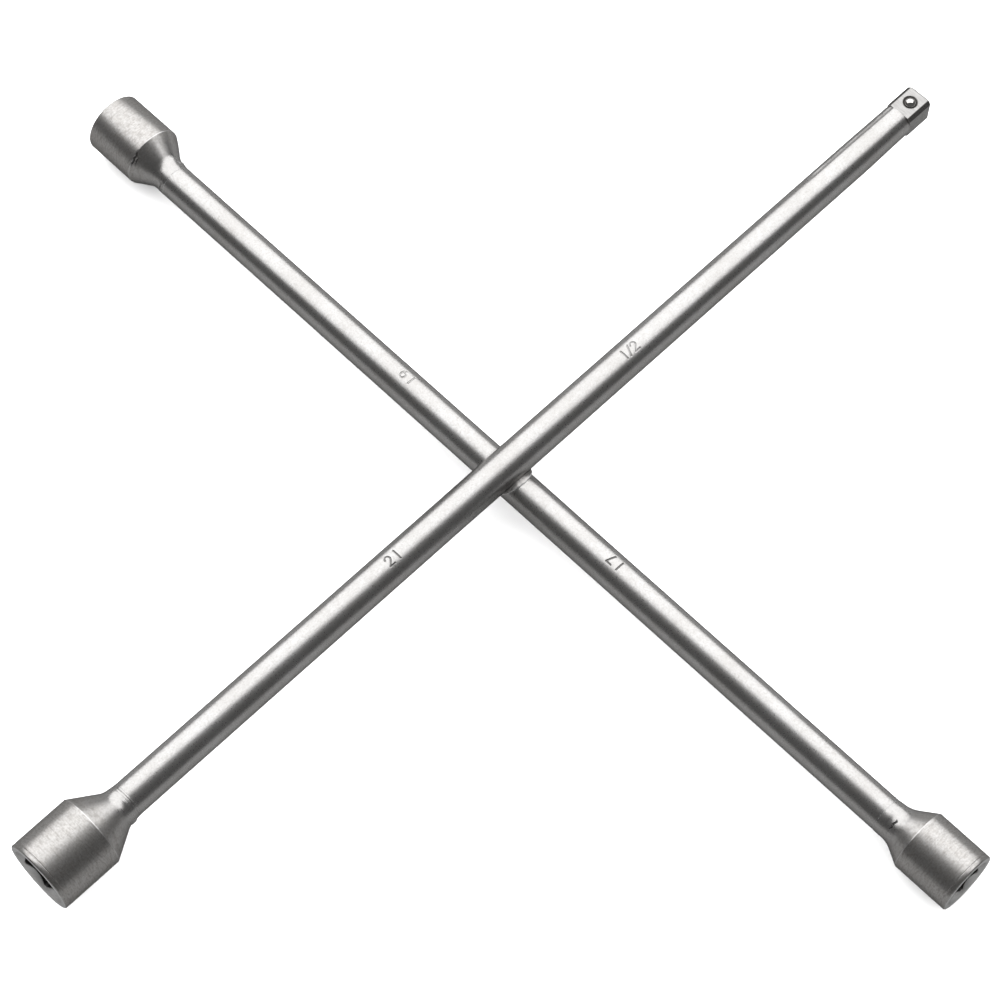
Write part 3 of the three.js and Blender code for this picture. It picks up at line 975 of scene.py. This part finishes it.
def detent_spring():
    """A coil spring with a closed turn at each end, squashed as the ball goes in."""
    low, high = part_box("detent_spring")
    coil = (high.x - low.x) / 2 - SPRING_WIRE
    bottom, top = low.z + SPRING_WIRE, high.z - SPRING_WIRE
    open_turns = SPRING_TURNS - 2 * SPRING_CLOSED
    pitch = (top - bottom - 2 * SPRING_CLOSED * CLOSED_PITCH) / open_turns
    centre = middle("detent_spring")

    def path(t):
        turn = t * SPRING_TURNS
        active = min(max(turn - SPRING_CLOSED, 0), open_turns)
        z = bottom + (turn - active) * CLOSED_PITCH + active * pitch
        a = 2 * math.pi * turn
        return Vector((centre.x + coil * math.cos(a), centre.y + coil * math.sin(a), z))

    rings = []
    steps = WIRE_STEPS * SPRING_TURNS
    for i in range(steps + 1):
        t = i / steps
        here = path(t)
        ahead = (path(min(1, t + 1e-4)) - path(max(0, t - 1e-4))).normalized()
        outward = Vector((here.x - centre.x, here.y - centre.y, 0)).normalized()
        over = ahead.cross(outward).normalized()
        ring = []
        for k in range(WIRE_SIDES):
            a = 2 * math.pi * k / WIRE_SIDES
            ring.append(here + (outward * math.cos(a) + over * math.sin(a)) * SPRING_WIRE)
        rings.append(ring)
    made = skin(rings, path(0), path(1))
    name, node, slot = "detent_spring_wire", "detent_spring", "spring_steel"
    piece = add_piece(name, made, SPRING_STEEL, "wrench", node)
    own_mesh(piece)


# ---- Studio ----
CAMERA_DISTANCE = 1.18
CAMERA_AZIMUTH = math.radians(-45)
CAMERA_ELEVATION = math.radians(62.4)
CAMERA_ROLL = math.radians(0.12)
CAMERA_LENS = 106.26
CAMERA_SENSOR = 36
AIM_RIGHT = -2.43 * MM
AIM_UP = -13.65 * MM


def camera():
    """Looks a little beside the crossing, by AIM_RIGHT and AIM_UP in the rolled picture."""
    level, rise = math.cos(CAMERA_ELEVATION), math.sin(CAMERA_ELEVATION)
    back = Vector((math.sin(CAMERA_AZIMUTH) * level, -math.cos(CAMERA_AZIMUTH) * level, rise))
    eye = CROSSING + back * CAMERA_DISTANCE
    right = (-back).cross(UP).normalized()
    up = right.cross(-back)
    c, s = math.cos(CAMERA_ROLL), math.sin(CAMERA_ROLL)
    right, up = right * c + up * s, up * c - right * s
    aim = CROSSING + right * AIM_RIGHT + up * AIM_UP
    turn = (-back).rotation_difference(aim - eye)
    right, up = turn @ right, turn @ up
    axes = Matrix((right, up, (eye - aim).normalized())).transposed()
    data = bpy.data.cameras.new("camera")
    data.lens, data.sensor_width = CAMERA_LENS, CAMERA_SENSOR
    data.clip_start, data.clip_end = 0.01, 50
    made = bpy.data.objects.new("camera", data)
    made.matrix_world = Matrix.Translation(eye) @ axes.to_4x4()
    bpy.context.scene.collection.objects.link(made)
    bpy.context.scene.camera = made


# The key light stands behind the wrench. Its place and its aim are a distance that way and a
# height, in metres.
BEHIND = Vector((1, 1, 0)).normalized()
KEY_PLACE = BEHIND * 1.01 + UP * 1.175
KEY_AIM = BEHIND * 0.34 + UP * 0.018
KEY_WIDTH = 3.5
KEY_HEIGHT = 2.33
KEY_POWER = 47
ROOM_LIGHT = 2.2
# The metal is to mirror a darker room and table than the white ones that light it.
ROOM_IN_METAL = 0.10
FLOOR_IN_METAL = 0.15
FLOOR_HALF = 4.0
FLOOR_CELLS = 12


def key_light():
    data = bpy.data.lights.new("key", "AREA")
    data.shape, data.size, data.size_y = "RECTANGLE", KEY_WIDTH, KEY_HEIGHT
    data.energy = KEY_POWER
    made = bpy.data.objects.new("key", data)
    made.location = KEY_PLACE
    made.rotation_mode = "QUATERNION"
    made.rotation_quaternion = (KEY_AIM - KEY_PLACE).to_track_quat("-Z", "Y")
    bpy.context.scene.collection.objects.link(made)


def floor():
    mesh = bpy.data.meshes.new("floor")
    row = FLOOR_CELLS + 1
    ticks = [FLOOR_HALF * (2 * i / FLOOR_CELLS - 1) for i in range(row)]
    points = [(x, y, CAD_LOW.z) for x in ticks for y in ticks]
    corners = [i * row + j for i in range(FLOOR_CELLS) for j in range(FLOOR_CELLS)]
    faces = [(a, a + row, a + row + 1, a + 1) for a in corners]
    mesh.from_pydata(points, [], faces)
    g = Graph("floor_paper")
    mirrored = g.add("LightPath").outputs["Is Glossy Ray"]
    paper = g.mix(g.noise(g.place(), 8, 2.0), grey(0.80), grey(0.82))
    g.feed("Base Color", g.mix(mirrored, paper, grey(FLOOR_IN_METAL)))
    g.fix(Roughness=0.9)
    mesh.materials.append(g.material)
    made = bpy.data.objects.new("floor", mesh)
    bpy.context.scene.collection.objects.link(made)


def room():
    """An even white room that the metal mirrors darker."""
    world = bpy.data.worlds.new("world")
    world.use_nodes = True
    tree = world.node_tree
    path = tree.nodes.new("ShaderNodeLightPath")
    level = tree.nodes.new("ShaderNodeMapRange")
    level.inputs["To Min"].default_value = ROOM_LIGHT
    level.inputs["To Max"].default_value = ROOM_IN_METAL
    tree.links.new(path.outputs["Is Glossy Ray"], level.inputs["Value"])
    tree.links.new(level.outputs[0], tree.nodes["Background"].inputs["Strength"])
    tree.nodes["Background"].inputs["Color"].default_value = (1, 1, 1, 1)
    bpy.context.scene.world = world


# ---- The wrench ----
cut_detent_hole(drive_bar())
cross_bar()
weld_collar()
socket_heads()
detent_ball()
detent_spring()
camera()
floor()
room()
key_light()
bpy.context.scene.view_settings.view_transform = "Standard"
